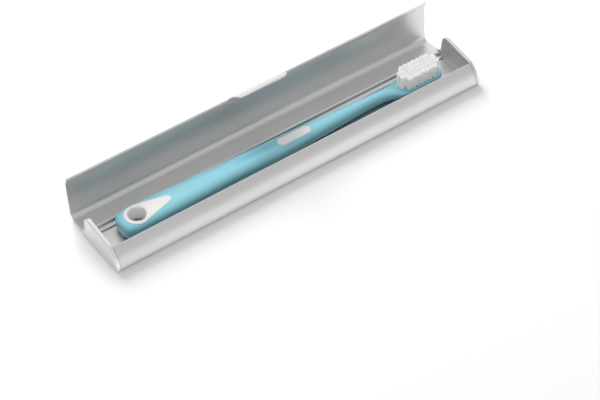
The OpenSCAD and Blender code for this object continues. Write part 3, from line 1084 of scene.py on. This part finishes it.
@dataclass
class Bristles:
    """Nine rows of bristle tufts, their tips cut on a slope that the shut lid clears."""

    laid: Matrix
    body: BrushBody
    rows: int = 9
    row_tufts: int = 4
    strands: int = 72
    field_l: float = 23.5 * MM
    field_w: float = 9.4 * MM
    field_in: float = 1.7 * MM
    sunk: float = 0.05 * MM
    height: float = 8.1 * MM
    trim_a: float = math.radians(8)
    root_r: float = 1.2 * MM
    tip_r: float = 1.55 * MM
    strand_r: float = 0.15 * MM
    strand_sides: int = 5
    strand_cuts: int = 2
    shoulder: float = 0.985
    tip_share: float = 0.55
    bend: float = 1.4
    edge_share: float = 0.1
    row_short_share: float = 0.03
    swing: float = 0.09 * MM
    stray_share: float = 0.4
    short_share: float = 0.5
    crease_a: float = math.radians(80)
    seed: int = 11

    def strand(self) -> bpy.types.Mesh:
        """Makes one upright filament of unit height with a rounded tip.

        Returns:
            Its mesh data, closed at both ends.
        """
        near = 0.01
        mesh = bmesh.new()
        bmesh.ops.create_cone(
            mesh, segments=self.strand_sides, radius1=self.strand_r, radius2=self.strand_r,
            depth=1, matrix=Matrix.Translation((0, 0, 0.5)),
        )
        upright = [e for e in mesh.edges if abs(e.verts[0].co.z - e.verts[1].co.z) > near]
        bmesh.ops.subdivide_edges(
            mesh, edges=upright, cuts=self.strand_cuts, use_grid_fill=False
        )
        rim = [e for e in mesh.edges if min(v.co.z for v in e.verts) > 1 - near]
        made = bmesh.ops.extrude_edge_only(mesh, edges=rim)["geom"]
        tip = [v for v in made if isinstance(v, Vert)]
        foot = [v for v in mesh.verts if v.co.z < near]
        bmesh.ops.scale(mesh, vec=(self.tip_share, self.tip_share, 1), verts=tip)
        for loop in (tip, foot):
            bmesh.ops.contextual_create(mesh, geom=loop)
        for vert in mesh.verts:
            if vert.co.z > 1 - near and vert not in tip:
                vert.co.z = self.shoulder
        bmesh.ops.recalc_face_normals(mesh, faces=mesh.faces)
        return kept("strand", mesh)

    def plant(
        self, mesh: Mesh, strand: bpy.types.Mesh, root: Vector, lean: Vector, tall: float
    ) -> None:
        """Adds a filament.

        Args:
            mesh: The row's mesh.
            strand: The unit filament.
            root: Where it leaves the head.
            lean: How far its tip stands aside from its root.
            tall: Its height.
        """
        first = len(mesh.verts)
        mesh.from_mesh(strand)
        mesh.verts.ensure_lookup_table()
        for vert in mesh.verts[first:]:
            up = vert.co.z
            vert.co = Vector((vert.co.x, vert.co.y, up * tall)) + root + lean * up**self.bend

    def tuft(
        self, mesh: Mesh, strand: bpy.types.Mesh, at: Vector, tall: float, chance: random.Random
    ) -> None:
        """Adds a tuft of filaments on a sunflower pattern.

        Args:
            mesh: The row's mesh.
            strand: The unit filament.
            at: The middle of the tuft's root.
            tall: The height of its middle.
            chance: The source of small differences.
        """
        golden = math.pi * (3 - math.sqrt(5))
        start = chance.uniform(0, 2 * math.pi)
        for k in range(self.strands):
            turn = start + golden * k
            out = math.sqrt((k + 0.5) / self.strands)
            way = Vector((math.cos(turn), math.sin(turn), 0)) * out
            aside = [chance.gauss(0, self.stray_share) for _ in "xy"]
            short = abs(chance.gauss(0, self.short_share)) * self.swing
            root = at + way * (self.root_r - self.strand_r)
            lean = way * (self.tip_r - self.root_r) + Vector((*aside, 0)) * self.swing
            slope = math.tan(self.trim_a) * way.y * self.tip_r
            self.plant(mesh, strand, root, lean, tall + slope - short)

    def row(self, i: int, strand: bpy.types.Mesh, chance: random.Random) -> bpy.types.Object:
        """Makes one row of tufts across the head.

        Args:
            i: The row's number, from zero at the handle's side.
            strand: The unit filament.
            chance: The source of small differences.

        Returns:
            The piece.
        """
        mesh = bmesh.new()
        pitch_x = self.field_l / self.rows
        pitch_y = self.field_w / (self.row_tufts + self.edge_share)
        middle, centre = (self.rows - 1) / 2, (self.row_tufts - 1) / 2
        head_end = self.body.head_at + self.body.head_l
        at_x = head_end - self.field_in - self.field_l / 2 + (i - middle) * pitch_x
        tall = self.height * (1 - self.row_short_share * (i % 2))
        for j in range(self.row_tufts):
            at_corner = abs(j - centre) == centre and abs(i - middle) == middle
            if not at_corner:
                at_y = (j - centre) * pitch_y
                root = Vector((at_x, at_y, self.body.head_t - self.sunk))
                self.tuft(mesh, strand, root, tall + at_y * math.tan(self.trim_a), chance)
        bmesh.ops.transform(mesh, matrix=self.laid, verts=mesh.verts)
        crease(mesh, self.crease_a)
        return finished(f"brush_bristles_{i + 1}", mesh, WHITE_NYLON)

    def build(self) -> None:
        """Builds every row, each in place of its packed one."""
        chance = random.Random(self.seed)
        strand = self.strand()
        for i in range(self.rows):
            stand_in(self.row(i, strand, chance), Body.BRUSH, f"tuft_row_{i + 1}")


@dataclass(frozen=True)
class Softbox:
    """A square studio lamp that faces the middle of the case."""

    name: str
    at: Triple
    size: float
    watts: float
    mirrored: bool = True

    def build(self) -> None:
        """Hangs the lamp and turns it to the case."""
        lamp = bpy.data.lights.new(self.name, "AREA")
        lamp.shape = "SQUARE"
        lamp.size = self.size
        lamp.energy = self.watts
        piece = placed(self.name, lamp)
        piece.visible_glossy = self.mirrored
        piece.location = self.at
        piece.rotation_euler = (-Vector(self.at)).to_track_quat("-Z", "Y").to_euler()


@dataclass
class Studio:
    """A plain white table under soft light, and the camera.

    The table glows a little to the camera, more so far from the case, so that it ends in white.
    """

    floor_size: float = 6.0
    floor_drop: float = 0.02 * MM
    floor_tone: float = 0.9
    floor_glow: float = 0.02
    far_glow: float = 0.42
    far_from: float = 0.45
    far_run: float = 1.5
    world_level: float = 0.78
    boxes: tuple[Softbox, ...] = (
        Softbox("key_box", (0.1, 1.12, 0.76), 0.7, 18, mirrored=False),
        Softbox("sky_box", (0.5, 0.9, 0.75), 1.3, 2.6),
        Softbox("front_box", (0.5, -1.1, 0.15), 0.5, 0.5),
    )
    camera_at: Triple = (-0.38837, -0.53665, 0.65723)
    azimuth: float = math.radians(36.296)
    elevation: float = math.radians(45.991)
    focal_px: float = 1954.52
    sensor_w: float = 36
    nearest: float = 0.01

    def seen(self, bench: Bench) -> Wire:
        """Finds the rays that show the background: from the camera, by gloss or through glass.

        Args:
            bench: The bench of the floor's material.

        Returns:
            1 for those rays and 0 for others.
        """
        ray = bench.node("ShaderNodeLightPath", {}, {})
        camera, glossy, through = (
            Wire(bench, ray.outputs[name])
            for name in ("Is Camera Ray", "Is Glossy Ray", "Is Transmission Ray")
        )
        return camera.larger(glossy).larger(through)

    def floor_skin(self) -> bpy.types.Material:
        """Makes the table's finish: matt white, with its glow towards the camera.

        Returns:
            The material.
        """
        skin = bpy.data.materials.new("table_white")
        skin.use_nodes = True
        bench = Bench(skin.node_tree)
        tone = (self.floor_tone,) * 3 + (1,)
        matt = bench.wire("ShaderNodeBsdfDiffuse", {}, {"Color": tone})
        length = {"operation": "LENGTH"}
        out = bench.wire("ShaderNodeVectorMath", length, {0: bench.place()}, "Value")
        far = ((out - self.far_from) / self.far_run).up_to_one()
        level = self.seen(bench) * (far * self.far_glow + self.floor_glow)
        glow = bench.wire("ShaderNodeEmission", {}, {"Strength": level})
        both = bench.wire("ShaderNodeAddShader", {}, {0: matt, 1: glow})
        bench.node("ShaderNodeOutputMaterial", {}, {"Surface": both})
        return skin

    def build_floor(self) -> None:
        """Lays the table just under the case."""
        mesh = bmesh.new()
        bmesh.ops.create_grid(mesh, x_segments=1, y_segments=1, size=self.floor_size / 2)
        bmesh.ops.translate(mesh, vec=(0, 0, -self.floor_drop), verts=mesh.verts)
        table = placed("table", kept("table", mesh))
        table.data.materials.append(self.floor_skin())

    def build_world(self) -> None:
        """Surrounds the scene with an even, soft light."""
        world = bpy.data.worlds.new("studio")
        world.use_nodes = True
        bench = Bench(world.node_tree)
        glow = bench.wire("ShaderNodeBackground", {}, {"Strength": self.world_level})
        bench.node("ShaderNodeOutputWorld", {}, {"Surface": glow})
        bpy.context.scene.world = world

    def build_camera(self) -> None:
        """Sets the camera where the photograph was taken from."""
        data = bpy.data.cameras.new("camera")
        data.sensor_width = self.sensor_w
        data.lens = self.focal_px / PHOTO_W * self.sensor_w
        data.clip_start = self.nearest
        camera = placed("camera", data)
        camera.location = self.camera_at
        flat = math.cos(self.elevation)
        way = Vector((
            math.sin(self.azimuth) * flat, math.cos(self.azimuth) * flat,
            -math.sin(self.elevation),
        ))
        camera.rotation_euler = way.to_track_quat("-Z", "Y").to_euler()
        bpy.context.scene.camera = camera

    def build(self) -> None:
        """Builds the table, the world, the lamps and the camera."""
        self.build_floor()
        self.build_world()
        for box in self.boxes:
            box.build()
        self.build_camera()
        bpy.context.scene.view_settings.view_transform = "Standard"


def main() -> None:
    """Builds the case, the toothbrush and the studio."""
    logging.basicConfig(level=logging.INFO, format="%(message)s")
    Studio().build()
    Case().build()
    Toothbrush().build()


if __name__ == "__main__":
    main()
